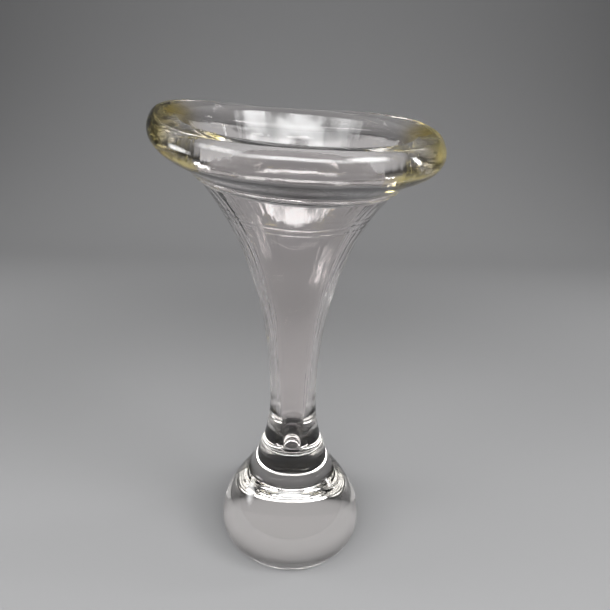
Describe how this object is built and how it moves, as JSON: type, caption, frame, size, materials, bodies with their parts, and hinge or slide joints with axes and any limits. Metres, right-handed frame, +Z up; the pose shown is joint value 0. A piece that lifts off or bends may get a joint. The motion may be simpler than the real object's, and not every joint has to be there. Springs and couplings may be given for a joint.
{
  "type": "hyacinth forcing vase",
  "caption": "Clear blown-glass hyacinth vase: a slender trumpet with a heavy folded, slightly sloping rim on a solid ball foot ground flat underneath.",
  "frame": {"origin": "centre of the ground flat under the ball foot, where the vase stands", "axes": "+Z up along the stem; the viewer of the picture stands on the -Y side and +X is the viewer's right; the rim slopes down towards the front right"},
  "size_m": [0.1428, 0.1428, 0.2563],
  "materials": {
    "clear_glass": "clear polished soda-lime glass with a faint yellow-green tint through its depth"
  },
  "bodies": {
    "root": {"ball_foot": "clear_glass", "joining_collar": "clear_glass", "trumpet": "clear_glass", "folded_rim": "clear_glass"}
  },
  "joints": []
}
